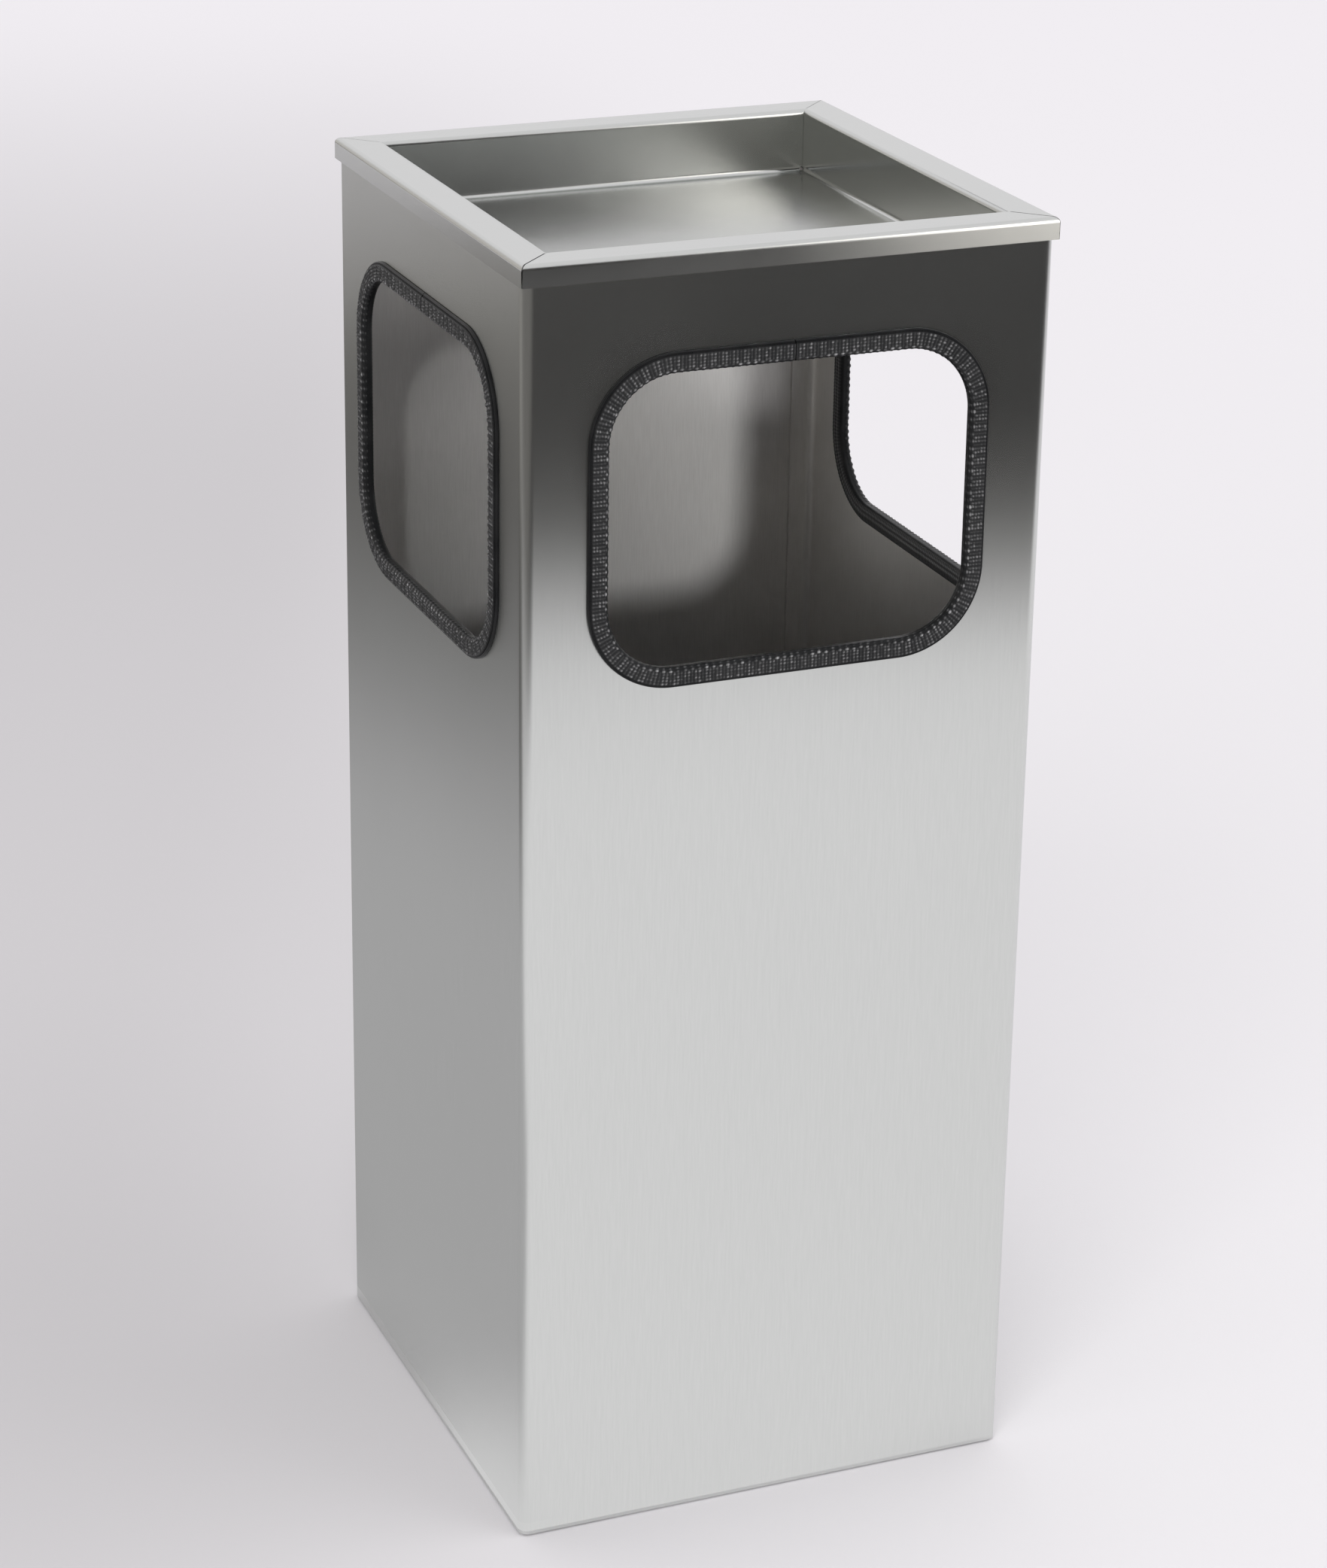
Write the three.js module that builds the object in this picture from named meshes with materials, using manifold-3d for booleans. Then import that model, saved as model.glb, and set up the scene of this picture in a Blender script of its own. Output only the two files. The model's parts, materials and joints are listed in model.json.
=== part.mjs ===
// A free-standing square ashtray bin in stainless steel, in millimetres, +Z up.
// The origin is on the floor, under the middle of the bin. The front faces -Y.
//
// The casing is one folded sheet, closed by a lap seam inside its back right corner, with an opening in
// its front, left and right walls and a plain back wall. Each opening's edge wears a clip-on trim of soft
// PVC that grips by a steel core. A base pan with four screwed rubber feet closes the bottom. A galvanised
// liner with a wire bail stands on the base pan, and the ash tray lies on top, its lip round the casing.
import * as THREE from "three";
import { mergeVertices } from "three/addons/utils/BufferGeometryUtils.js";
import Module from "manifold-3d";

const wasm = await Module();
wasm.setup();

// ---------------------------------------------------------------- driving dimensions

const OVERALL_HEIGHT = 617.4;
const CASE_WIDTH = 250; // outside, square in plan
const SHEET = 1; // casing, tray and base pan
const CASE_BEND = 5; // outside radius of the casing's upright bends
const GAP = 0.3; // between pieces that meet without touching
const ARC_STEPS = 6; // facets in each quarter of a hidden bend or of a bend in soft trim
const FOLD_STEPS = 8; // facets in each quarter of a fold that shows
const WIRE_STEPS = 4; // facets in each quarter of a small bend in wire
const NOSE_STEPS = 3; // facets in each quarter of the edge trim's nose
const SIDES = { wire: 10, hole: 12, screw: 16, washer: 20, foot: 24 }; // facets right round a round piece
const SPARE = 1; // how far a cutter runs past what it cuts

const FOOT_LIFT = 1.3; // casing's lower edge above the floor
const TOP_FLANGE = 9; // width of the casing's return flange, from its outer face
const TOP_BEND = 2; // outside radius of the return flange's bend
const LAP = 13; // reach of the lap flange, from the casing's right face
const WELD_RADIUS = 2.5;
const WELD_PITCH = 75;

const OPENING = { width: 176.4, height: 139, radius: 33.5, centreZ: 496.8 };

const TRAY = {
  clearance: 0.4, // lip to casing
  lip: 10, // height of the lip, from the tray's top
  basin: 214.5, // inside width of the basin
  depth: 30,
  bend: 2.5, // radius of each bend on the side that shows
  frontSlit: 0.6, // open mitres at the rim's front corners
  backSlit: 0.25, // and at its back corners
  seam: 0.3, // width of the groove where two walls of the basin meet
  seamDepth: 0.5,
  relief: 1.4, // radius of the hole where three folds meet at the basin's bottom corners
};

const PAN = { top: 15, skirt: 12, bend: 2, notch: 6 };

const FOOT = {
  inset: 95, // distance of each foot from the middle, in X and in Y
  topRadius: 11,
  bottomRadius: 9.5,
  boreRadius: 2.8,
  counterboreRadius: 5.3,
  counterboreDepth: 6,
  chamfer: 0.8,
};
const SCREW = {
  radius: 2.5,
  tip: 6, // reach above the base pan
  tipChamfer: 0.6,
  headRadius: 4.75,
  headHeight: 3.4,
  headChamfer: 1.6,
  socketRadius: 1.7,
  socketDepth: 2,
};
const WASHER = { inner: 2.8, outer: 5.5, thickness: 1 };
const NUT = { acrossFlats: 8, bore: 2.65, height: 4 };

const LINER = {
  width: 208,
  sheet: 0.8,
  radius: 8, // outside radius of its upright bends
  rimZ: 318,
  hemHeight: 7,
  hemProud: 2.4,
  bottomTop: 10.8, // top of its bottom plate, above its lower edge
  bottomFlange: 9, // height of the plate's flange, which points down
  lap: 12,
};
const BAIL = {
  wire: 2, // radius
  armX: 109.6, // each arm's distance from the middle
  pivotZ: 303,
  barY: 104.9, // reach of the crossbar over the front hem
  overHem: 1, // crossbar's clearance over the hem
  cornerBend: 12,
  hookBend: 4,
  headRadius: 3.2,
  headLength: 1.2,
};
const EAR = { width: 32, height: 14, corner: 3, thickness: 1.5, rivetAt: 11 };
const RIVET = { radius: 2, headRadius: 3.2, headHeight: 1.1, tailRadius: 2.8 };

// Section of the edge trim. Depth runs from the opening's edge over the sheet, and side away from it.
const TRIM = {
  nose: -2.2,
  tip: 7.2,
  side: 3.3, // outer face, from the middle of the sheet
  slot: 0.8, // half the width of the slot that takes the sheet
  noseBend: 2.2, // radius of the nose's corners
  lipRun: 1, // width of the thinner lip at the tip
  lipDrop: 1.1, // from the outer face down to the lip's edge
  coreNose: -1.4,
  coreTip: 6,
  coreSide: 2.1,
  coreSheet: 0.6,
  coreCorner: 0.8, // chamfer of the core's corners
  buttGap: 0.6, // between the trim's two ends, at the middle of the opening's top edge
};

// ---------------------------------------------------------------- derived places

const half = CASE_WIDTH / 2;
const inside = half - SHEET;
const caseTop = OVERALL_HEIGHT - SHEET - GAP;
const padTop = PAN.top - SHEET; // the base pan's underside, which the feet meet
const linerFoot = PAN.top + GAP;
const linerHalf = LINER.width / 2;
const wallMiddle = half - SHEET / 2;

// ---------------------------------------------------------------- materials

const metal = (color, roughness) => new THREE.MeshStandardMaterial({ color, roughness, metalness: 1 });
const stainless = metal(0xc9cac9, 0.34);
const galvanised = metal(0xaeb4b6, 0.5);
const zincPlated = metal(0xc2c3bf, 0.4);
const springSteel = metal(0x7d8083, 0.45);
const trimVinyl = new THREE.MeshStandardMaterial({ color: 0x222224, roughness: 0.6, metalness: 0 });
const footRubber = new THREE.MeshStandardMaterial({ color: 0x161617, roughness: 0.85, metalness: 0 });

// ---------------------------------------------------------------- solids and booleans

function solid(geometry) {
  const bare = new THREE.BufferGeometry();
  const source = geometry.index ? geometry.toNonIndexed() : geometry;
  bare.setAttribute("position", source.getAttribute("position"));
  const merged = mergeVertices(bare, 1e-4);
  return new wasm.Manifold(
    new wasm.Mesh({
      numProp: 3,
      vertProperties: merged.attributes.position.array,
      triVerts: new Uint32Array(merged.index.array),
    }),
  );
}

function geometryOf(made) {
  const mesh = made.getMesh();
  const geometry = new THREE.BufferGeometry();
  geometry.setAttribute("position", new THREE.BufferAttribute(mesh.vertProperties, 3));
  geometry.setIndex(new THREE.BufferAttribute(mesh.triVerts, 1));
  const flat = geometry.toNonIndexed();
  flat.computeVertexNormals();
  return flat;
}

const join = (first, ...others) => others.reduce((sum, next) => sum.add(next), first);
const cut = (first, ...others) => others.reduce((left, next) => left.subtract(next), first);

// ---------------------------------------------------------------- shapes that repeat

// A block from its lowest to its highest corner.
function block([x0, y0, z0], [x1, y1, z1]) {
  const box = new THREE.BoxGeometry(x1 - x0, y1 - y0, z1 - z0);
  return box.translate((x0 + x1) / 2, (y0 + y1) / 2, (z0 + z1) / 2);
}

// A cylinder along Z, or along X when it is turned.
function rod(radius, low, high, sides, alongX = false) {
  const made = new THREE.CylinderGeometry(radius, radius, high - low, sides);
  made.rotateX(Math.PI / 2).translate(0, 0, (low + high) / 2);
  return alongX ? made.rotateY(Math.PI / 2) : made;
}

// A profile of [radius, z] points turned about Z.
function turned(profile, sides) {
  const points = profile.map(([radius, z]) => new THREE.Vector2(radius, z));
  return new THREE.LatheGeometry(points, sides).rotateX(Math.PI / 2);
}

// A profile of [distance from the middle, z] points carried round a square with mitred corners.
function squareTurned(profile) {
  const points = profile.map(([reach, z]) => new THREE.Vector2(reach * Math.SQRT2, z));
  return new THREE.LatheGeometry(points, 4, Math.PI / 4).rotateX(Math.PI / 2);
}

// Points of an arc from one angle to another, in degrees.
function arc(centreX, centreY, radius, from, to, steps = FOLD_STEPS) {
  return Array.from({ length: steps + 1 }, (_, i) => {
    const angle = THREE.MathUtils.degToRad(from + ((to - from) * i) / steps);
    return [centreX + radius * Math.cos(angle), centreY + radius * Math.sin(angle)];
  });
}

// A regular polygon that stands for a circle, or for a hexagon when it has six sides.
function polygon(radius, sides, kind = THREE.Shape) {
  const outline = arc(0, 0, radius, 0, 360 - 360 / sides, sides - 1);
  return new kind(outline.map(([x, y]) => new THREE.Vector2(x, y)));
}

function roundedRectangle(width, height, radius, kind = THREE.Shape) {
  const x = width / 2 - radius;
  const y = height / 2 - radius;
  const corners = [
    [x, y, 0],
    [-x, y, 90],
    [-x, -y, 180],
    [x, -y, 270],
  ];
  const outline = corners.flatMap(([cx, cy, from]) => arc(cx, cy, radius, from, from + 90, ARC_STEPS));
  return new kind(outline.map(([px, py]) => new THREE.Vector2(px, py)));
}

// A shape in the XY plane, raised from one height to another.
function raised(shape, low, high) {
  const made = new THREE.ExtrudeGeometry(shape, { depth: high - low, bevelEnabled: false });
  return made.translate(0, 0, low);
}

// A ring between two rounded squares, raised from one height to another.
function squareTube(outerWidth, outerRadius, wall, low, high) {
  const ring = roundedRectangle(outerWidth, outerWidth, outerRadius);
  const innerWidth = outerWidth - 2 * wall;
  ring.holes.push(roundedRectangle(innerWidth, innerWidth, outerRadius - wall, THREE.Path));
  return raised(ring, low, high);
}

// A path that sweeps step only at its stations, so that straight runs need no extra ones.
class StationPath extends THREE.Curve {
  constructor(stations) {
    super();
    this.stations = stations; // each [x, y, direction of travel in degrees], in the XY plane
  }
  station(u) {
    return this.stations[Math.round(u * (this.stations.length - 1))];
  }
  getPointAt(u) {
    const [x, y] = this.station(u);
    return new THREE.Vector3(x, y, 0);
  }
  getTangentAt(u) {
    const angle = THREE.MathUtils.degToRad(this.station(u)[2]);
    return new THREE.Vector3(Math.cos(angle), Math.sin(angle), 0);
  }
}

// Stations of a bend about a centre, turning left or right.
function bendStations(centreX, centreY, radius, from, to, steps) {
  const turn = Math.sign(to - from) * 90;
  return Array.from({ length: steps + 1 }, (_, i) => {
    const degrees = from + ((to - from) * i) / steps;
    const angle = THREE.MathUtils.degToRad(degrees);
    return [centreX + radius * Math.cos(angle), centreY + radius * Math.sin(angle), degrees + turn];
  });
}

function sweep(shape, stations) {
  const extrudePath = new StationPath(stations);
  return new THREE.ExtrudeGeometry(shape, { steps: stations.length - 1, extrudePath, bevelEnabled: false });
}

// Turns about Z that carry the front wall's fittings to each wall that has an opening.
const OPEN_WALLS = { front: 0, left: -Math.PI / 2, right: Math.PI / 2 };

// ---------------------------------------------------------------- casing

// The folded sheet in plan, from the free end of the back wall round to the lap flange behind it.
function casingPlan() {
  const bend = half - CASE_BEND;
  const innerBend = CASE_BEND - SHEET;
  const lapFace = inside - GAP;
  const lapBend = lapFace - CASE_BEND;
  const lapEnd = half - LAP;
  const outline = [
    [bend, half],
    ...arc(-bend, bend, CASE_BEND, 90, 180),
    ...arc(-bend, -bend, CASE_BEND, 180, 270),
    ...arc(bend, -bend, CASE_BEND, 270, 360),
    ...arc(bend, lapBend, CASE_BEND, 0, 90),
    [lapEnd, lapFace],
    [lapEnd, lapFace - SHEET],
    ...arc(bend, lapBend, innerBend, 90, 0),
    ...arc(bend, -bend, innerBend, 360, 270),
    ...arc(-bend, -bend, innerBend, 270, 180),
    ...arc(-bend, bend, innerBend, 180, 90),
    [bend, inside],
  ];
  return new THREE.Shape(outline.map(([x, y]) => new THREE.Vector2(x, y)));
}

// The return flange that stiffens the top edge, with a notch at each corner.
function casingTopFlange() {
  const bend = half - TOP_BEND;
  const low = caseTop - TOP_BEND;
  const ring = [
    [half, low - SHEET],
    ...arc(bend, low, TOP_BEND, 0, 90),
    [half - TOP_FLANGE, caseTop],
    [half - TOP_FLANGE, caseTop - SHEET],
    ...arc(bend, low, TOP_BEND - SHEET, 90, 0),
    [inside, low - SHEET],
    [half, low - SHEET],
  ];
  const near = half - TOP_FLANGE - SPARE;
  const far = half + SPARE;
  const notches = [0, 1, 2, 3].map((quarter) => {
    const notch = block([near, near, low - 2 * SHEET], [far, far, caseTop + SPARE]);
    return solid(notch.rotateZ((quarter * Math.PI) / 2));
  });
  return cut(solid(squareTurned(ring)), ...notches);
}

// Spot welds that hold the lap flange to the back wall.
function lapWelds() {
  const x = half - LAP + 2 * WELD_RADIUS;
  const welds = [];
  for (let z = 2 * WELD_PITCH; z < caseTop; z += WELD_PITCH) {
    const spot = rod(WELD_RADIUS, -GAP, GAP, SIDES.wire).rotateX(Math.PI / 2);
    welds.push(solid(spot.translate(x, inside - GAP / 2, z - WELD_PITCH)));
  }
  return welds;
}

function openingCutter(turn) {
  const shape = roundedRectangle(OPENING.width, OPENING.height, OPENING.radius);
  const cutter = raised(shape, -CASE_BEND, CASE_BEND).rotateX(Math.PI / 2);
  return solid(cutter.translate(0, -wallMiddle, OPENING.centreZ).rotateZ(turn));
}

function casing() {
  const walls = solid(raised(casingPlan(), FOOT_LIFT, caseTop - TOP_BEND));
  const folded = join(walls, casingTopFlange(), ...lapWelds());
  return geometryOf(cut(folded, ...Object.values(OPEN_WALLS).map(openingCutter)));
}

// ---------------------------------------------------------------- edge trims

// Stations round an opening's edge, from one end of the trim to the other.
function openingStations() {
  const x = OPENING.width / 2 - OPENING.radius;
  const y = OPENING.height / 2 - OPENING.radius;
  const corner = (cx, cy, from) => bendStations(cx, cy, OPENING.radius, from, from + 90, ARC_STEPS);
  return [
    [-TRIM.buttGap / 2, OPENING.height / 2, 180],
    ...corner(-x, y, 90),
    ...corner(-x, -y, 180),
    ...corner(x, -y, 270),
    ...corner(x, y, 0),
    [TRIM.buttGap / 2, OPENING.height / 2, 180],
  ];
}

// Sweeping puts a shape's X across the sheet and its Y towards the middle of the opening.
const sectionPoint = ([depth, side]) => new THREE.Vector2(side, -depth);

// Half of a channel's outline, given from the slot to the nose, and its mirror image.
function channel(halfOutline, kind) {
  const mirrored = halfOutline.map(([depth, side]) => [depth, -side]).reverse();
  return new kind([...halfOutline, ...mirrored].map(sectionPoint));
}

function trimSection() {
  const { nose, tip, side, slot, noseBend, lipRun, lipDrop } = TRIM;
  const { coreNose, coreTip, coreSide, coreSheet, coreCorner } = TRIM;
  const shape = channel(
    [
      [-GAP, slot],
      [tip, slot],
      [tip, side - lipDrop],
      [tip - lipRun, side],
      ...arc(nose + noseBend, side - noseBend, noseBend, 90, 180, NOSE_STEPS),
    ],
    THREE.Shape,
  );
  const pocket = channel(
    [
      [coreNose + coreSheet + GAP, coreSide - coreSheet - GAP],
      [coreTip + GAP, coreSide - coreSheet - GAP],
      [coreTip + GAP, coreSide + GAP],
      [coreNose - GAP + coreCorner, coreSide + GAP],
      [coreNose - GAP, coreSide + GAP - coreCorner],
    ],
    THREE.Path,
  );
  shape.holes.push(pocket);
  return shape;
}

function coreSection() {
  const { coreNose, coreTip, coreSide, coreSheet, coreCorner } = TRIM;
  return channel(
    [
      [coreNose + coreSheet, coreSide - coreSheet],
      [coreTip, coreSide - coreSheet],
      [coreTip, coreSide],
      [coreNose + coreCorner, coreSide],
      [coreNose, coreSide - coreCorner],
    ],
    THREE.Shape,
  );
}

// ---------------------------------------------------------------- ash tray

// The basin, rim and lip in section, from the middle of the floor outwards and back underneath.
function trayProfile() {
  const { lip, basin, depth, bend, clearance } = TRAY;
  const top = OVERALL_HEIGHT;
  const outer = half + clearance + SHEET;
  const wall = basin / 2;
  const floor = top - depth;
  const inner = bend - SHEET;
  return [
    [0, floor],
    ...arc(wall - bend, floor + bend, bend, 270, 360),
    ...arc(wall + bend, top - bend, bend, 180, 90),
    ...arc(outer - bend, top - bend, bend, 90, 0),
    [outer, top - lip],
    [outer - SHEET, top - lip],
    ...arc(outer - bend, top - bend, inner, 0, 90),
    ...arc(wall + bend, top - bend, inner, 90, 180),
    ...arc(wall - bend, floor + bend, bend + SHEET, 360, 270),
    [0, floor - SHEET],
  ];
}

// What the folding leaves open at one corner: the rim's mitre, the basin's seam and its bottom relief.
function trayCorner(degrees, slit) {
  const { lip, basin, depth, bend, seam, seamDepth, relief } = TRAY;
  const top = OVERALL_HEIGHT;
  const wall = (basin / 2) * Math.SQRT2;
  const rim = (basin / 2 + bend) * Math.SQRT2;
  const floor = top - depth;
  const mitre = block([rim, -slit / 2, top - lip - SPARE], [half * 2, slit / 2, top + SPARE]);
  const groove = block([wall - SPARE, -seam / 2, floor + relief], [wall + seamDepth, seam / 2, top - bend]);
  const hole = new THREE.SphereGeometry(relief, SIDES.wire, ARC_STEPS);
  hole.translate(wall - relief / 2, 0, floor + relief / 2);
  return [mitre, groove, hole].map((cutter) => solid(cutter.rotateZ(THREE.MathUtils.degToRad(degrees))));
}

function ashTray() {
  const { frontSlit, backSlit } = TRAY;
  const corners = [
    [45, backSlit],
    [135, backSlit],
    [225, frontSlit],
    [315, frontSlit],
  ];
  const cutters = corners.flatMap(([degrees, slit]) => trayCorner(degrees, slit));
  return geometryOf(cut(solid(squareTurned(trayProfile().reverse())), ...cutters));
}

// ---------------------------------------------------------------- base pan and feet

const CORNERS = {
  front_left: [-1, -1],
  front_right: [1, -1],
  back_left: [-1, 1],
  back_right: [1, 1],
};

function basePan() {
  const outer = inside - GAP;
  const { bend } = PAN;
  const low = PAN.top - PAN.skirt;
  const profile = [
    [0, PAN.top],
    ...arc(outer - bend, PAN.top - bend, bend, 90, 0),
    [outer, low],
    [outer - SHEET, low],
    ...arc(outer - bend, PAN.top - bend, bend - SHEET, 0, 90),
    [0, padTop],
  ];
  const reach = outer - PAN.notch;
  const cuts = Object.values(CORNERS).flatMap(([x, y]) => {
    const corner = block([reach, reach, 0], [half, half, half]);
    const hole = rod(FOOT.boreRadius, 0, half, SIDES.screw);
    return [
      solid(corner.translate(0, 0, -half / 2).rotateZ(Math.atan2(y, x) - Math.PI / 4)),
      solid(hole.translate(x * FOOT.inset, y * FOOT.inset, 0)),
    ];
  });
  const lapRelief = block([half - LAP - SPARE, inside - SHEET - 2 * GAP, 0], [half, half, half]);
  return geometryOf(cut(solid(squareTurned(profile.reverse())), ...cuts, solid(lapRelief)));
}

function foot() {
  const { topRadius, bottomRadius, boreRadius, counterboreRadius, counterboreDepth, chamfer } = FOOT;
  return turned(
    [
      [counterboreRadius, 0],
      [bottomRadius - chamfer, 0],
      [bottomRadius, chamfer],
      [topRadius, padTop - chamfer],
      [topRadius - chamfer, padTop],
      [boreRadius, padTop],
      [boreRadius, counterboreDepth],
      [counterboreRadius, counterboreDepth],
      [counterboreRadius, 0],
    ],
    SIDES.foot,
  );
}

// A pan-head screw, head down in the foot's counterbore, with a hexagon socket.
function footScrew() {
  const { radius, headRadius, headChamfer, tipChamfer, socketRadius, socketDepth } = SCREW;
  const seat = FOOT.counterboreDepth;
  const low = seat - SCREW.headHeight;
  const end = PAN.top + SCREW.tip;
  const body = turned(
    [
      [0, low],
      [headRadius - headChamfer, low],
      [headRadius, low + headChamfer],
      [headRadius, seat],
      [radius, seat],
      [radius, end - tipChamfer],
      [radius - tipChamfer, end],
      [0, end],
    ],
    SIDES.screw,
  );
  const socket = rod(socketRadius, low - SPARE, low + socketDepth, 6);
  return geometryOf(cut(solid(body), solid(socket)));
}

function washer() {
  const low = PAN.top;
  const high = PAN.top + WASHER.thickness;
  return turned(
    [
      [WASHER.inner, low],
      [WASHER.outer, low],
      [WASHER.outer, high],
      [WASHER.inner, high],
      [WASHER.inner, low],
    ],
    SIDES.washer,
  );
}

function nut() {
  const hexagon = polygon(NUT.acrossFlats / Math.sqrt(3), 6);
  hexagon.holes.push(polygon(NUT.bore, SIDES.hole, THREE.Path));
  const low = PAN.top + WASHER.thickness;
  return raised(hexagon, low, low + NUT.height);
}

// ---------------------------------------------------------------- liner

// The holes that an ear, its two rivets and the bail need in a side wall.
function earHoles(side) {
  const holes = [0, -EAR.rivetAt, EAR.rivetAt].map((y) => {
    const radius = (y === 0 ? BAIL.wire : RIVET.radius) + GAP;
    const hole = rod(radius, linerHalf - CASE_BEND, linerHalf + CASE_BEND, SIDES.hole, true);
    return hole.translate(0, y, BAIL.pivotZ);
  });
  return holes.map((hole) => solid(side < 0 ? hole.rotateZ(Math.PI) : hole));
}

function linerBody() {
  const { width, sheet, radius, rimZ, hemHeight, hemProud, lap } = LINER;
  const wrapper = solid(squareTube(width, radius, sheet, linerFoot, rimZ));
  const hemWidth = width + 2 * hemProud;
  const hem = solid(squareTube(hemWidth, radius + hemProud, hemProud + sheet, rimZ - hemHeight, rimZ));
  const seamFace = linerHalf - sheet;
  const seam = block([-lap / 2, seamFace - sheet, linerFoot], [lap / 2, seamFace + sheet / 2, rimZ]);
  return geometryOf(cut(join(wrapper, hem, solid(seam)), ...earHoles(-1), ...earHoles(1)));
}

// A plate with its flange turned down inside the wrapper, and a relief round the wrapper's seam.
function linerBottom() {
  const { width, sheet, radius, bottomTop, bottomFlange, lap } = LINER;
  const span = width - 2 * (sheet + GAP);
  const bend = radius - sheet - GAP;
  const top = linerFoot + bottomTop;
  const plate = solid(raised(roundedRectangle(span, span, bend), top - sheet, top));
  const flange = solid(squareTube(span, bend, sheet, top - bottomFlange, top));
  const seamReach = lap / 2 + 2 * GAP;
  const seamFace = linerHalf - 2 * sheet - GAP;
  const seamRelief = block([-seamReach, seamFace, 0], [seamReach, linerHalf, top + SPARE]);
  return geometryOf(cut(join(plate, flange), solid(seamRelief)));
}

// The wire, lying in the XY plane with its pivot on the X axis and its crossbar towards -Y.
function bail() {
  const { wire, armX, cornerBend, hookBend, headRadius, headLength } = BAIL;
  const rise = LINER.rimZ + BAIL.overHem + wire - BAIL.pivotZ;
  const reach = Math.hypot(BAIL.barY, rise);
  const end = linerHalf - LINER.sheet - GAP;
  const stations = [
    [-end + headLength, 0, 180],
    ...bendStations(-armX + hookBend, -hookBend, hookBend, 90, 180, WIRE_STEPS),
    ...bendStations(-armX + cornerBend, -reach + cornerBend, cornerBend, 180, 270, ARC_STEPS),
    ...bendStations(armX - cornerBend, -reach + cornerBend, cornerBend, 270, 360, ARC_STEPS),
    ...bendStations(armX - hookBend, -hookBend, hookBend, 0, 90, WIRE_STEPS),
    [end - headLength, 0, 180],
  ];
  const section = polygon(wire, SIDES.wire);
  const heads = [-1, 1].map((side) => {
    const head = rod(headRadius, end - headLength, end, SIDES.hole, true);
    return solid(side < 0 ? head.rotateZ(Math.PI) : head);
  });
  const made = join(solid(sweep(section, stations)), ...heads);
  return geometryOf(made).rotateX(-Math.asin(rise / reach));
}

function bailEar() {
  const { width, height, corner, thickness } = EAR;
  const plate = raised(roundedRectangle(width, height, corner), 0, thickness);
  plate.rotateX(Math.PI / 2).rotateZ(Math.PI / 2).translate(linerHalf, 0, BAIL.pivotZ);
  return geometryOf(cut(solid(plate), ...earHoles(1)));
}

// A rivet along X, its domed head outside the ear and its tail inside the liner.
function earRivet() {
  const { radius, headRadius, headHeight, tailRadius } = RIVET;
  const outer = linerHalf + EAR.thickness;
  const inner = linerHalf - LINER.sheet;
  const dome = (headRadius ** 2 + headHeight ** 2) / (2 * headHeight);
  const domeEdge = THREE.MathUtils.radToDeg(Math.acos(headRadius / dome));
  const body = turned(
    [
      [0, inner - headHeight],
      [radius, inner - headHeight],
      [tailRadius, inner - GAP],
      [tailRadius, inner],
      [radius, inner],
      [radius, outer],
      ...arc(0, outer + headHeight - dome, dome, domeEdge, 90, NOSE_STEPS),
    ],
    SIDES.hole,
  );
  return body.rotateY(Math.PI / 2);
}

// ---------------------------------------------------------------- assembly

const bin = new THREE.Group();

function add(name, geometry, material, parent = bin) {
  const mesh = new THREE.Mesh(geometry, material);
  mesh.name = name;
  parent.add(mesh);
  return mesh;
}

add("casing", casing(), stainless);
add("ash_tray", ashTray(), stainless);
add("base_pan", basePan(), galvanised);

for (const [wall, turn] of Object.entries(OPEN_WALLS)) {
  const side = new THREE.Group();
  side.rotation.z = turn;
  bin.add(side);
  const opening = new THREE.Group();
  opening.position.set(0, -wallMiddle, OPENING.centreZ);
  opening.rotation.x = Math.PI / 2;
  side.add(opening);
  add(`edge_trim_${wall}`, sweep(trimSection(), openingStations()), trimVinyl, opening);
  add(`trim_core_${wall}`, sweep(coreSection(), openingStations()), springSteel, opening);
}

for (const [corner, [x, y]] of Object.entries(CORNERS)) {
  const stack = new THREE.Group();
  stack.position.set(x * FOOT.inset, y * FOOT.inset, 0);
  bin.add(stack);
  add(`foot_${corner}`, foot(), footRubber, stack);
  add(`foot_screw_${corner}`, footScrew(), zincPlated, stack);
  add(`foot_washer_${corner}`, washer(), zincPlated, stack);
  add(`foot_nut_${corner}`, nut(), zincPlated, stack);
}

add("liner_body", linerBody(), galvanised);
add("liner_bottom", linerBottom(), galvanised);
add("bail", bail(), zincPlated).position.z = BAIL.pivotZ;

for (const [side, turn] of Object.entries({ left: Math.PI, right: 0 })) {
  const wall = new THREE.Group();
  wall.rotation.z = turn;
  bin.add(wall);
  add(`bail_ear_${side}`, bailEar(), galvanised, wall);
  for (const [place, y] of Object.entries({ front: -EAR.rivetAt, back: EAR.rivetAt })) {
    const forward = side === "left" ? -y : y;
    add(`ear_rivet_${side}_${place}`, earRivet(), zincPlated, wall).position.set(0, forward, BAIL.pivotZ);
  }
}

export default bin;
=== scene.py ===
"""The looks of a square stainless steel ashtray bin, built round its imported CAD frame.

Metres, +Z up, the front facing -Y. The CAD nodes keep their shapes and get their finishes here, and the
trim round each opening is replaced by one with its embossed ribs and beads.
"""
import json
import math

import bmesh
import bpy
import numpy as np
from mathutils import Matrix, Vector
from mathutils.geometry import tessellate_polygon


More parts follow.
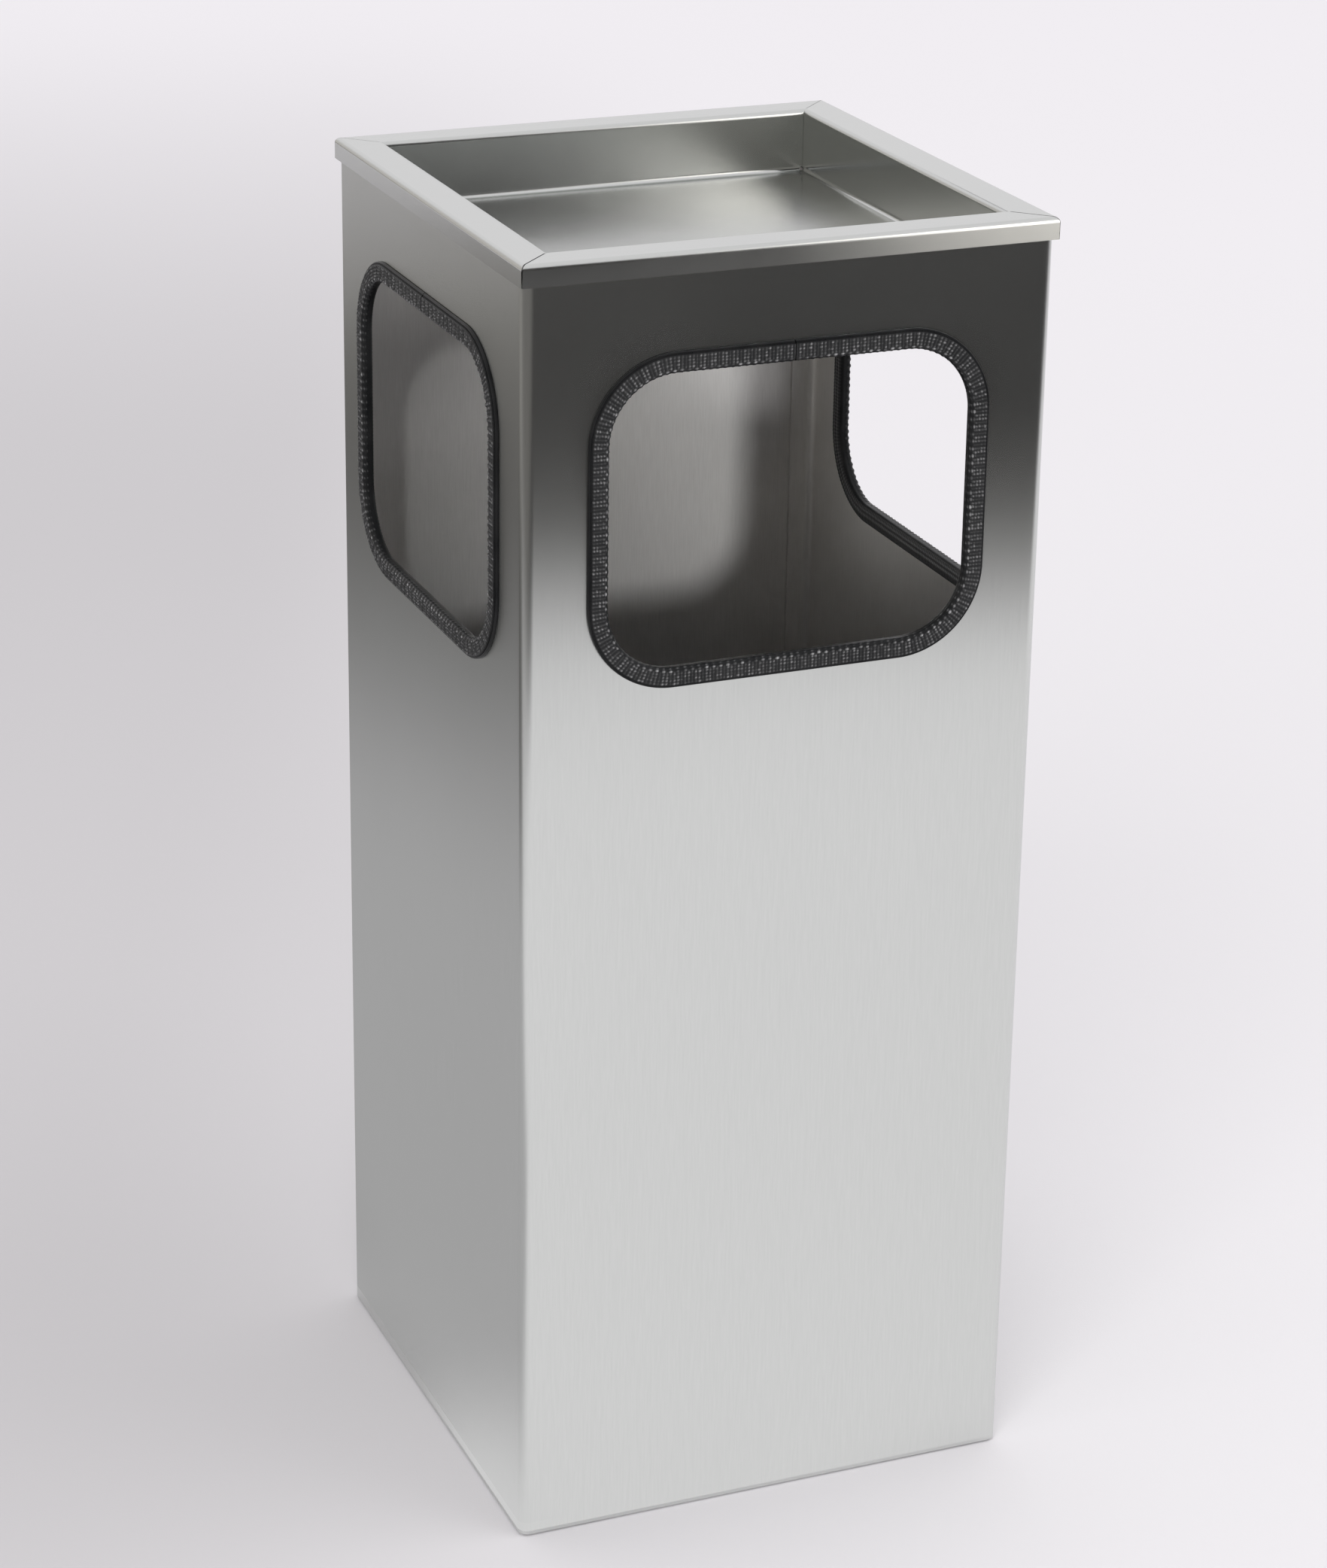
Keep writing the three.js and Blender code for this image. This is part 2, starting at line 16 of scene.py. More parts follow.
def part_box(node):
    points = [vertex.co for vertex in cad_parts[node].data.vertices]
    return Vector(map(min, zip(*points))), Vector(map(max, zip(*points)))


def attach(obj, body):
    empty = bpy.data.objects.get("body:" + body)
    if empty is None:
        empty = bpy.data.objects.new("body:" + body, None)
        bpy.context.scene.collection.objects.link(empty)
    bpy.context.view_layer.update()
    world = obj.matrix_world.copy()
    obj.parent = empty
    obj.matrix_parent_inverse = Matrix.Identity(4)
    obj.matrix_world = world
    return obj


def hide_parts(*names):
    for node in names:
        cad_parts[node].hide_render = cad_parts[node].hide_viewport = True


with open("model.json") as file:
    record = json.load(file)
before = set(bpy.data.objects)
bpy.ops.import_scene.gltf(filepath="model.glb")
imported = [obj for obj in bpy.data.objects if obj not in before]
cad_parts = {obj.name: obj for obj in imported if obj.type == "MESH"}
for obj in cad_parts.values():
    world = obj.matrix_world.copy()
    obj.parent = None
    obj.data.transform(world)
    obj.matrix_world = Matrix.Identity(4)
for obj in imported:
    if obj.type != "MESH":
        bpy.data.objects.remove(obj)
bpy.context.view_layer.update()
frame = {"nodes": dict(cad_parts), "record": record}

MM = 0.001

# ---------------------------------------------------------------- driving values

# The camera: its place, where it looks in degrees, and its lens and shift.
CAMERA_PLACE = (-0.7022, -1.6710, 1.0509)
CAMERA_YAW = 21.815
CAMERA_PITCH = 20.659
CAMERA_ROLL = 0.600
CAMERA_LENS = 93.23
CAMERA_SENSOR = 36
CAMERA_SHIFT = (0.0331, -0.0610)
CAMERA_CLIP = (0.05, 100)

# The casing's sheet, and the outer radius of its folds.
CASING_SHEET = 1.0 * MM
CASING_FOLD = 5.0 * MM

# Folds of the CAD nodes that are steeper than this stay sharp, and points closer than this are one.
SHARP_FOLD = math.radians(30)
SAME_POINT = 0.005 * MM

# Section of the edge trim in millimetres. Depth runs from the opening's edge over the sheet, and side
# away from the middle of the sheet.
TRIM_TIP = 7.2
TRIM_NOSE = -2.2
TRIM_NOSE_BEND = 2.2
TRIM_SLOT = 0.8  # from the middle of the sheet
TRIM_SLOT_END = -0.3
TRIM_GRIP = 0.55  # where the tip closes on the sheet
TRIM_LIP = 1.35  # width of the plain lip along the tip
TRIM_LIP_DROP = 0.72  # from the ribbed face down to the lip
TRIM_BUTT_GAP = 0.6  # between the trim's two ends
TRIM_SHARP = math.radians(75)  # edges of the skin steeper than this stay sharp
CORE_POCKET = ((-0.5, 1.2), (6.3, 1.2), (6.3, 2.4), (-0.9, 2.4), (-1.7, 1.6))
OPENING_RADIUS = 33.5

# The trim's embossing, in millimetres. Heights, and the painted glint that lightens the skin as a painted
# highlight and partly as wear, are shares, from 0 to 1.
EMBOSSING = 0.62  # from the trim's lowest to its highest skin
SUNK_NOSE = 0.55  # the fold's bend is smaller by this share of the embossing
RIB_PITCH = 5.1
STEPS_PER_RIB = 9  # puts a station on every column of beads
FACE_STEP = 0.3  # between points across the ribbed face
FOLD_STEP = 0.36  # between points across the front of the fold
BEND_STEPS = 8
RIBBED_FACE = 6.0  # from the lip to the fold
RIDGE_START, RIDGE_RISE, RIDGE_FALL = -0.1, 0.4, 0.6  # across the face, from the lip
RIDGE_WIDTH = 0.45
RIDGE_HEIGHT = 0.36
# Painted glint on the ridges, a painted highlight that stands partly for wear.
RIDGE_GLINT = 0.1
BEAD_ROWS = 4
FIRST_ROW = 0.72  # from the lip
ROW_PITCH = 1.5
BEAD_LIFT = 0.3  # how much higher a bead stands on a ridge
# The columns of each rib: place in the pitch, height of the ridge, and its beads' size, height and painted
# glint, partly wear.
COLUMNS = (
    (1 / 3, 1.0, (0.66, 0.60), 0.7, 0.7),
    (2 / 3, 1.0, (0.66, 0.60), 0.7, 0.7),
    (0.0, 0.6, (0.5, 0.5), 0.4, 0.25),
)
# The rows of beads round the fold: distance past the face, and the beads' size, height and painted glint,
# partly wear.
FOLD_ROWS = (
    (0.4, (0.95, 0.62), 0.9, 1.0),
    (1.7, (0.8, 0.5), 0.5, 0.3),
    (2.9, (0.8, 0.5), 0.4, 0.15),
)
FOLD_BEADS_PER_RIB = 1.5
# How far a bead strays from its place, and the range of its size, height and painted glint.
BEAD_SLIP = 0.09
BEAD_SIZES = (0.8, 1.1)
BEAD_HEIGHTS = (0.75, 1.0)
BEAD_GLINTS = (0.2, 1.0)
LITTLE_GLINT = 1.3  # above 1, most beads get little painted glint
TOP_ONLY = 3  # the higher, the nearer its top a bead's painted glint sits
# The leg inside the casing has fine cross ribs, and ridges along it: distance past the fold, and width.
INNER_RIDGES = ((0.8, 0.5), (3.2, 0.55))
INNER_RIDGE_HEIGHT = 0.5
# Painted glint on the inner ridges, a painted highlight where the leg catches light, partly wear.
INNER_RIDGE_GLINT = 0.4
INNER_START = 1.5  # before the fold's end
FINE_RIBS = 3  # in each rib pitch
FINE_RIB_HEIGHT = 0.26
# Painted glint on the fine cross ribs, partly wear.
FINE_RIB_GLINT = 0.12
UNEVENNESS = 0.05
GLINT_AND_WEAR = "glint_and_wear"  # the trims' mesh attribute that carries the painted glint of the skin, a painted highlight that stands partly for wear

# Each opening's wall, and its turn from the front.
WALLS = (("front", 0.0), ("left", -math.pi / 2), ("right", math.pi / 2))

# Grain of the brushed sheets: how finely it varies along each axis.
UPRIGHT_GRAIN = (1700, 1700, 80)
TRAY_GRAIN_ALONG_X = (14, 2600, 2600)
TRAY_GRAIN_ALONG_Z = (2600, 2600, 14)

# The studio. The set faces the camera.
FLOOR_REACH = 30.0
SET_TURN = math.radians(-CAMERA_YAW)
AHEAD = SET_TURN + math.pi
LEFT = SET_TURN + math.pi / 2
RIGHT = SET_TURN - math.pi / 2
UPRIGHT = math.pi / 2
WIDE = (12, 6)  # width and length of the flags across the set
BESIDE = (2.5, 5)  # and of those on the bin's left
LAMP_RADIUS = 0.14
LAMP_BLEND = 0.15  # share of the spot over which it fades out
DUSK = (1.05, 1.0, 0.95)  # tint of the room's dark parts
PAPER = (1.0, 0.982, 1.003)  # tint of the bright floor
ROOM_TINT = (1.0, 0.985, 1.005, 1.0)
ROOM_STRENGTH = 0.93


# ---------------------------------------------------------------- node trees

# A Mix node has its colour sockets at these places.
MIX_FIRST, MIX_SECOND, MIX_RESULT = 6, 7, 2


class Tree:
    """Adds nodes to a material's or a modifier's tree, with their inputs given as values or as sockets."""

    def __init__(self, tree):
        self.tree = tree

    def feed(self, socket, value):
        if isinstance(value, bpy.types.NodeSocket):
            self.tree.links.new(value, socket)
        else:
            socket.default_value = value

    def add(self, kind, inputs=None, **settings):
        node = self.tree.nodes.new(kind)
        for name, value in settings.items():
            setattr(node, name, value)
        for name, value in (inputs or {}).items():
            self.feed(node.inputs[name], value)
        return node

    def math(self, operation, first, second=0.0):
        node = self.add("ShaderNodeMath", {0: first, 1: second}, operation=operation)
        return node.outputs[0]

    def vector(self, operation, *inputs):
        node = self.add("ShaderNodeVectorMath", dict(enumerate(inputs)), operation=operation)
        return node.outputs["Vector"]

    def spread(self, value, low, high, start=0.0, end=1.0):
        """Maps a value's range from start..end onto low..high."""
        inputs = {"Value": value, "From Min": start, "From Max": end, "To Min": low, "To Max": high}
        return self.add("ShaderNodeMapRange", inputs).outputs["Result"]

    def smooth_step(self, value, start, end):
        """Rises smoothly from 0 at start to 1 at end."""
        inputs = {"Value": value, "From Min": start, "From Max": end}
        node = self.add("ShaderNodeMapRange", inputs, interpolation_type="SMOOTHSTEP")
        return node.outputs["Result"]

    def place(self, stretch=(1, 1, 1)):
        """The point on the piece, in metres, stretched along each axis."""
        point = self.add("ShaderNodeTexCoord").outputs["Object"]
        return self.add("ShaderNodeMapping", {"Vector": point, "Scale": stretch}).outputs["Vector"]

    def noise(self, vector, scale=1.0, detail=4.0, roughness=0.5):
        inputs = {"Vector": vector, "Scale": scale, "Detail": detail, "Roughness": roughness}
        return self.add("ShaderNodeTexNoise", inputs).outputs["Fac"]

    def cells(self, vector, scale, feature="F1"):
        return self.add("ShaderNodeTexVoronoi", {"Vector": vector, "Scale": scale}, feature=feature)

    def blend(self, share, first, second):
        node = self.add("ShaderNodeMix", {"Factor": share}, data_type="RGBA")
        self.feed(node.inputs[MIX_FIRST], first)
        self.feed(node.inputs[MIX_SECOND], second)
        return node.outputs[MIX_RESULT]

    def bump(self, height, distance, normal=None):
        inputs = {"Height": height, "Distance": distance}
        if normal is not None:
            inputs["Normal"] = normal
        return self.add("ShaderNodeBump", inputs).outputs["Normal"]

    def principled(self, inputs):
        return self.add("ShaderNodeBsdfPrincipled", inputs).outputs["BSDF"]

    def finish(self, shader):
        """Makes a shader the material's surface."""
        self.add("ShaderNodeOutputMaterial", {"Surface": shader})


def grey(value, warmth=0.0):
    """An opaque grey, a little yellower when warmth is above 0 and bluer below."""
    return (value * (1 + warmth), value, value * (1 - warmth), 1.0)


def steel(value):
    """The tone of bare stainless steel, whose green is a little stronger than its red and blue."""
    return (value, value * 1.022, value * 0.997, 1.0)


def new_material(name):
    made = bpy.data.materials.new(name)
    made.use_nodes = True
    made.node_tree.nodes.clear()
    return made, Tree(made.node_tree)


# ---------------------------------------------------------------- materials

def inside_casing(tree):
    """1 on the casing's inner skin and 0 on its outer one, also round its folds."""
    _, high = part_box("casing")
    fold_centre = high.x - CASING_FOLD
    flat = tree.vector("ABSOLUTE", tree.place((1, 1, 0)))
    past = tree.vector("SUBTRACT", flat, (fold_centre, fold_centre, 0))
    beyond = tree.vector("MAXIMUM", past, (0, 0, 0))
    reach = tree.add("ShaderNodeVectorMath", {0: beyond}, operation="LENGTH").outputs["Value"]
    return tree.math("LESS_THAN", reach, CASING_FOLD - CASING_SHEET / 2)


def casing_steel():
    """Stainless sheet brushed up and down on its outside, and as it left the mill on its inside."""
    made, tree = new_material("casing_steel")
    grain = tree.noise(tree.place(UPRIGHT_GRAIN), detail=5, roughness=0.65)
    cloud = tree.noise(tree.place(), scale=9, detail=5, roughness=0.6)
    tone = tree.math("ADD", tree.spread(grain, -0.5, 0.5, 0.3, 0.7), tree.spread(cloud, -0.35, 0.35))
    share = tree.math("ADD", tone, 0.5)
    waves = tree.noise(tree.place((1, 1, 0.5)), scale=7, detail=1)
    wavy = tree.bump(waves, 0.3 * MM)
    around = tree.add("ShaderNodeTangent", direction_type="RADIAL", axis="Z").outputs["Tangent"]
    brushed = tree.principled({
        "Base Color": tree.blend(share, steel(0.688), steel(0.718)),
        "Metallic": 1.0,
        "Roughness": tree.spread(cloud, 0.20, 0.25),
        "Anisotropic": 1.0,
        "Tangent": around,
        "Normal": tree.bump(grain, 0.002 * MM, normal=wavy),
    })
    mill_dark, mill_pale = (0.85, 0.837, 0.815, 1.0), (0.93, 0.918, 0.898, 1.0)
    inner = tree.principled({
        "Base Color": tree.blend(share, mill_dark, mill_pale),
        "Metallic": 1.0,
        "Roughness": tree.spread(cloud, 0.38, 0.44),
        "Normal": tree.bump(grain, 0.002 * MM),
    })
    sides = tree.add("ShaderNodeMixShader", {0: inside_casing(tree), 1: brushed, 2: inner})
    tree.finish(sides.outputs["Shader"])
    return made


def tray_steel():
    """Stainless sheet brushed from side to side before it was folded."""
    made, tree = new_material("tray_steel")
    facing = tree.add("ShaderNodeSeparateXYZ", {0: tree.add("ShaderNodeNewGeometry").outputs["Normal"]})
    upright = tree.math("ABSOLUTE", facing.outputs["Y"])
    across = tree.add("ShaderNodeCombineXYZ", {"X": 0.0, "Y": 1.0, "Z": upright})
    sideways = tree.math("ABSOLUTE", facing.outputs["X"])
    along_x = tree.noise(tree.place(TRAY_GRAIN_ALONG_X), detail=5, roughness=0.65)
    along_z = tree.noise(tree.place(TRAY_GRAIN_ALONG_Z), detail=5, roughness=0.65)
    turned = tree.add("ShaderNodeMix", {0: sideways, 2: along_x, 3: along_z}, data_type="FLOAT")
    grain = turned.outputs[0]
    cloud = tree.noise(tree.place(), scale=14, detail=5, roughness=0.6)
    tone = tree.math("ADD", tree.spread(grain, -0.4, 0.4), tree.spread(cloud, -0.3, 0.3))
    waves = tree.bump(tree.noise(tree.place(), scale=16, detail=1), 0.12 * MM)
    tree.finish(tree.principled({
        "Base Color": tree.blend(tree.math("ADD", tone, 0.5), steel(0.58), steel(0.645)),
        "Metallic": 1.0,
        "Roughness": tree.spread(cloud, 0.15, 0.2),
        "Anisotropic": 0.85,
        "Tangent": across.outputs["Vector"],
        "Normal": tree.bump(grain, 0.003 * MM, normal=waves),
    }))
    return made


def galvanised():
    """Hot-dip galvanised sheet: flat crystals, each with its own tone and gloss."""
    made, tree = new_material("galvanised")
    crystals_per_metre, bending = 95, 6 * MM
    warp = tree.add("ShaderNodeTexNoise", {"Vector": tree.place(), "Scale": 60, "Detail": 3})
    bent = tree.add("ShaderNodeVectorMath", {0: warp.outputs["Color"], "Scale": bending}, operation="SCALE")
    moved = tree.vector("ADD", tree.place(), bent.outputs["Vector"])
    crystals = tree.cells(moved, crystals_per_metre)
    tone = tree.add("ShaderNodeSeparateColor", {0: crystals.outputs["Color"]})
    dull = tree.noise(tree.place(), scale=35, detail=6, roughness=0.6)
    colour = tree.blend(tone.outputs["Red"], grey(0.40, -0.03), grey(0.60, -0.015))
    aged = tree.blend(tree.spread(dull, 0.0, 0.55, 0.45, 0.8), colour, grey(0.46, 0.01))
    edges = tree.cells(moved, crystals_per_metre, feature="DISTANCE_TO_EDGE")
    ridge = tree.spread(edges.outputs["Distance"], 0.0, 1.0, 0.0, 0.06)
    tree.finish(tree.principled({
        "Base Color": aged,
        "Metallic": 1.0,
        "Roughness": tree.spread(tone.outputs["Green"], 0.34, 0.56),
        "Normal": tree.bump(tree.math("ADD", ridge, dull), 0.03 * MM),
    }))
    return made


def zinc_plated():
    """Bright zinc plate on wire and fasteners."""
    made, tree = new_material("zinc_plated")
    cloud = tree.noise(tree.place(), scale=120, detail=5, roughness=0.6)
    fine = tree.noise(tree.place(), scale=1500, detail=3)
    tree.finish(tree.principled({
        "Base Color": tree.blend(tree.spread(cloud, 0, 1, 0.3, 0.7), grey(0.62, 0.025), grey(0.76, -0.01)),
        "Metallic": 1.0,
        "Roughness": tree.spread(cloud, 0.26, 0.42),
        "Normal": tree.bump(fine, 0.02 * MM),
    }))
    return made


def spring_steel():
    """Oiled spring steel strip, cut and bent."""
    made, tree = new_material("spring_steel")
    cloud = tree.noise(tree.place(), scale=200, detail=5, roughness=0.65)
    tree.finish(tree.principled({
        "Base Color": tree.blend(cloud, grey(0.16, 0.02), grey(0.34, -0.01)),
        "Metallic": 1.0,
        "Roughness": tree.spread(cloud, 0.34, 0.52),
        "Normal": tree.bump(cloud, 0.02 * MM),
    }))
    return made


def trim_vinyl():
    """Black soft PVC, dull in its valleys, and lighter on its bead tops and ridges with a painted highlight
    that stands partly for wear.
    """
    made, tree = new_material("trim")
    cloud = tree.noise(tree.place(), scale=70, detail=4)
    fine = tree.noise(tree.place(), scale=2600, detail=4, roughness=0.6)
    glint_and_wear = tree.add("ShaderNodeAttribute", attribute_name=GLINT_AND_WEAR).outputs["Fac"]
    plain = tree.blend(tree.spread(cloud, 0, 1, 0.3, 0.7), grey(0.009, -0.06), grey(0.017, -0.02))
    tree.finish(tree.principled({
        # The painted glint blends the skin towards a pale grey, a painted highlight on the bead tops,
        # partly wear.
        "Base Color": tree.blend(glint_and_wear, plain, grey(0.42)),
        "Roughness": tree.spread(fine, 0.22, 0.36),
        "Specular IOR Level": 0.15,
        "Normal": tree.bump(fine, 0.02 * MM),
    }))
    return made


def foot_rubber():
    """Moulded black rubber with a matt, faintly dusty skin."""
    made, tree = new_material("foot_rubber")
    dust = tree.noise(tree.place(), scale=160, detail=6, roughness=0.65)
    fine = tree.noise(tree.place(), scale=2200, detail=4)
    tree.finish(tree.principled({
        "Base Color": tree.blend(tree.spread(dust, 0, 1, 0.45, 0.8), grey(0.012), grey(0.045, 0.05)),
        "Roughness": tree.spread(dust, 0.68, 0.9),
        "Normal": tree.bump(fine, 0.05 * MM),
    }))
    return made


def floor_paper():
    """A pale studio floor with a hardly visible tooth; painted light makes it paler far behind the bin, and
    painted shade makes it greyer on its left.
    """
    made, tree = new_material("floor_paper")
    # Painted light and shade: the floor's colour grows paler far behind the bin, and a painted shade colour
    # greys it on the bin's left, fading out 1.2 to 3.6 metres behind.
    near_tone, far_tone = (0.745, 0.734, 0.748, 1.0), (0.86, 0.845, 0.865, 1.0)
    left_shade_tone = (0.54, 0.529, 0.538, 1.0)
    tooth = tree.noise(tree.place(), scale=900, detail=3)
    point = tree.add("ShaderNodeSeparateXYZ", {0: tree.place()})
    to_left = tree.math("MULTIPLY", point.outputs["X"], -1.0)
    near = tree.math("SUBTRACT", 1.0, tree.smooth_step(point.outputs["Y"], 1.2, 3.6))
    share = tree.math("MULTIPLY", tree.smooth_step(to_left, -0.15, 0.35), near)
    pale = tree.blend(tree.smooth_step(point.outputs["Y"], 0.6, 4.0), near_tone, far_tone)
    tree.finish(tree.principled({
        "Base Color": tree.blend(share, pale, left_shade_tone),
        "Roughness": 0.9,
        "Specular IOR Level": 0.1,
        "Normal": tree.bump(tooth, 0.05 * MM),
    }))
    return made


MATERIALS = {
    "casing_steel": casing_steel(),
    "tray_steel": tray_steel(),
    "galvanised": galvanised(),
    "zinc_plated": zinc_plated(),
    "spring_steel": spring_steel(),
    "trim": trim_vinyl(),
    "foot_rubber": foot_rubber(),
}


# ---------------------------------------------------------------- CAD nodes

def smoothing_group():
    """Joins a faceted mesh's split corners and shades it smooth, apart from its sharp edges."""
    group = bpy.data.node_groups.new("smooth_folds", "GeometryNodeTree")
    group.interface.new_socket("Geometry", in_out="INPUT", socket_type="NodeSocketGeometry")
    group.interface.new_socket("Geometry", in_out="OUTPUT", socket_type="NodeSocketGeometry")
    tree = Tree(group)
    start = tree.add("NodeGroupInput").outputs[0]
    merged = tree.add("GeometryNodeMergeByDistance", {"Geometry": start, "Distance": SAME_POINT}).outputs[0]
    smooth = tree.add("GeometryNodeSetShadeSmooth", {"Geometry": merged}, domain="FACE").outputs[0]
    steep = tree.add("GeometryNodeInputMeshEdgeAngle").outputs["Unsigned Angle"]
    sharp = tree.math("GREATER_THAN", steep, SHARP_FOLD)
    inputs = {"Geometry": smooth, "Selection": sharp, "Shade Smooth": False}
    split = tree.add("GeometryNodeSetShadeSmooth", inputs, domain="EDGE").outputs[0]
    tree.add("NodeGroupOutput", {0: split})
    return group


def finish_nodes():
    """Gives every CAD node its material and smooth shading."""
    group = smoothing_group()
    slots = {part["node"]: part["material_slot"] for part in frame["record"]["subparts"]}
    for name, node in frame["nodes"].items():
        node.data.materials.clear()
        node.data.materials.append(MATERIALS[slots[name]])
        smooth = node.modifiers.new("smooth_folds", "NODES")
        smooth.node_group = group
        even = node.modifiers.new("even_normals", "WEIGHTED_NORMAL")
        even.keep_sharp = True
        even.weight = 100  # lets the largest faces decide


# ---------------------------------------------------------------- edge trims

def opening_runs(width, height):
    """The lines and arcs round an opening's edge: kind, place, degrees and length.

    A line is placed by its start and an arc by its centre. The degrees give the outward direction at the
    start.
    """
    radius = OPENING_RADIUS
    x, y = width / 2 - radius, height / 2 - radius
    runs = [("line", (0, y + radius), 90, x)]
    corners = (((-x, y), 90, 2 * y), ((-x, -y), 180, 2 * x), ((x, -y), 270, 2 * y), ((x, y), 0, x))
    for centre, start, line in corners:
        end = start + 90
        turned = math.radians(end)
        edge = (centre[0] + radius * math.cos(turned), centre[1] + radius * math.sin(turned))
        runs.append(("arc", centre, start, radius * math.pi / 2))
        runs.append(("line", edge, end, line))
    return runs


def opening_path(width, height):
    """Points, outward directions and distances round an opening's edge, evenly spaced, in millimetres.

    The path starts at the middle of the top edge and runs towards -X, and the two ends leave the butt gap.
    """
    runs = opening_runs(width, height)
    total = sum(length for kind, place, degrees, length in runs)
    ribs = round((total - TRIM_BUTT_GAP) / RIB_PITCH)
    distances = np.linspace(TRIM_BUTT_GAP / 2, total - TRIM_BUTT_GAP / 2, ribs * STEPS_PER_RIB + 1)
    points, outward = np.zeros((len(distances), 2)), np.zeros((len(distances), 2))
    done, slack = 0.0, 1e-9
    for kind, place, degrees, length in runs:
        inside = (distances >= done - slack) & (distances <= done + length + slack)
        gone = distances[inside] - done
        turned = np.radians(degrees) + (gone / OPENING_RADIUS if kind == "arc" else 0 * gone)
        away = np.stack([np.cos(turned), np.sin(turned)], 1)
        if kind == "arc":
            points[inside] = np.array(place) + OPENING_RADIUS * away
        else:
            travel = np.array([-math.sin(math.radians(degrees)), math.cos(math.radians(degrees))])
            points[inside] = np.array(place) + gone[:, None] * travel
        outward[inside] = away
        done += length
    return points, outward, distances


def resampled(corners, pitch):
    """Evenly spaced points along a line through the corners, both ends included."""
    corners = np.array(corners, float)
    lengths = np.linalg.norm(np.diff(corners, axis=0), axis=1)
    run = np.concatenate([[0], np.cumsum(lengths)])
    stops = np.linspace(0, run[-1], max(2, round(run[-1] / pitch) + 1))
    return np.stack([np.interp(stops, run, corners[:, k]) for k in (0, 1)], 1)


def bend(centre, radius, start, end, steps):
    """Points of an arc in the section, in degrees."""
    turned = np.radians(np.linspace(start, end, steps + 1))
    return np.stack([centre[0] + radius * np.cos(turned), centre[1] + radius * np.sin(turned)], 1)


def trim_skin(side):
    """The trim's section before it is embossed, as a closed loop, and what each point of it carries.

    Returns the points, their outward directions, each point's distance round the fold from the outer lip,
    or a negative number on the plain lips and in the slot, and that distance at the inner lip.
    """
    face = side - EMBOSSING
    nose = TRIM_NOSE_BEND - EMBOSSING * SUNK_NOSE
    lip_root, lip_top = TRIM_TIP - TRIM_LIP, face - TRIM_LIP_DROP
    # From the slot's bottom along its wall, round the lip's soft edge and back to the lip's root.
    outer_lip = [
        (TRIM_SLOT_END, TRIM_SLOT),
        (2.5, TRIM_SLOT),
        (TRIM_TIP - 1.4, TRIM_SLOT - 0.05),
        (TRIM_TIP - 0.35, TRIM_GRIP),
        (TRIM_TIP - 0.06, TRIM_GRIP + 0.16),
        (TRIM_TIP, TRIM_GRIP + 0.42),
        (TRIM_TIP - 0.08, lip_top - 0.3),
        (TRIM_TIP - 0.32, lip_top),
        (TRIM_TIP - 0.75, lip_top + 0.08),
        (lip_root, lip_top - 0.12),
    ]
    ribbed = resampled([(lip_root - 0.16, face), (TRIM_NOSE + nose + 0.3, face)], FACE_STEP)
    corner = bend((TRIM_NOSE + nose, face - nose), nose, 90, 180, BEND_STEPS)[:-1]
    front = resampled([(TRIM_NOSE, face - nose), (TRIM_NOSE, nose - face)], FOLD_STEP)
    inner_half = np.concatenate([outer_lip, ribbed[::2], corner]) * [1, -1]
    loop = np.concatenate([outer_lip, ribbed, corner, front, inner_half[::-1]])
    along = np.roll(loop, -1, 0) - np.roll(loop, 1, 0)
    out = np.stack([along[:, 1], -along[:, 0]], 1)
    out /= np.linalg.norm(out, axis=1)[:, None]
    reach = np.concatenate([[0], np.cumsum(np.linalg.norm(np.diff(loop, axis=0), axis=1))])
    number = np.arange(len(loop))
    first, last = len(outer_lip), len(loop) - len(outer_lip) - 1
    from_lip = np.where((number >= first) & (number <= last), reach - reach[first], -1)
    return loop, out, from_lip, reach[last] - reach[first]


def beads(along, across, pitch, offset, line, size, tall, random):
    """Heights of one row of beads, and each point's painted glint, a painted highlight that stands partly
    for wear.

    Distances along are measured round the opening and across over the section.
    """
    index = np.round(along / pitch - offset).astype(int)
    index = np.clip(index, 0, index.max())
    count = index.max() + 1
    slip = random.normal(0, BEAD_SLIP, (2, count))
    grow = random.uniform(*BEAD_SIZES, count)
    lift = random.uniform(*BEAD_HEIGHTS, count)
    # Each bead's painted glint, a painted highlight that stands partly for wear.
    shine = random.uniform(*BEAD_GLINTS, count) ** LITTLE_GLINT
    off_along = (along - (index + offset) * pitch - slip[0][index]) / (size[0] * grow[index])
    off_across = (across - line - slip[1][index]) / (size[1] * grow[index])
    dome = np.sqrt(np.clip(1 - off_along**2 - off_across**2, 0, 1))
    return tall * lift[index] * dome, shine[index] * dome**TOP_ONLY


def face_ridges(phase, pitch, across):
    """Ridges that cross the outer leg, from its lip to just past the fold's start."""
    ridges = []
    for place, tall, *_ in COLUMNS:
        away = (phase - place + 0.5) % 1.0 - 0.5
        ridges.append(tall * np.exp(-((away * pitch / RIDGE_WIDTH) ** 2)))
    rise = np.clip((across - RIDGE_START) / RIDGE_RISE, 0, 1)
    fall = np.clip((RIBBED_FACE + RIDGE_FALL - across) / RIDGE_FALL, 0, 1)
    return np.maximum.reduce(ridges) * (rise * fall)


def inner_leg(along, pitch, past_fold):
    """Heights and painted glint of the fine cross ribs, and of the ridges along the leg inside the casing.
    """
    inner = np.clip(past_fold + INNER_START, 0, 1)
    fine = 0.5 + 0.5 * np.cos(2 * np.pi * along / (pitch / FINE_RIBS))
    ridges = sum(np.exp(-((past_fold - place) / width) ** 2) for place, width in INNER_RIDGES)
    height = inner * (FINE_RIB_HEIGHT * fine + INNER_RIDGE_HEIGHT * ridges)
    return height, inner * fine * (FINE_RIB_GLINT + INNER_RIDGE_GLINT * ridges)


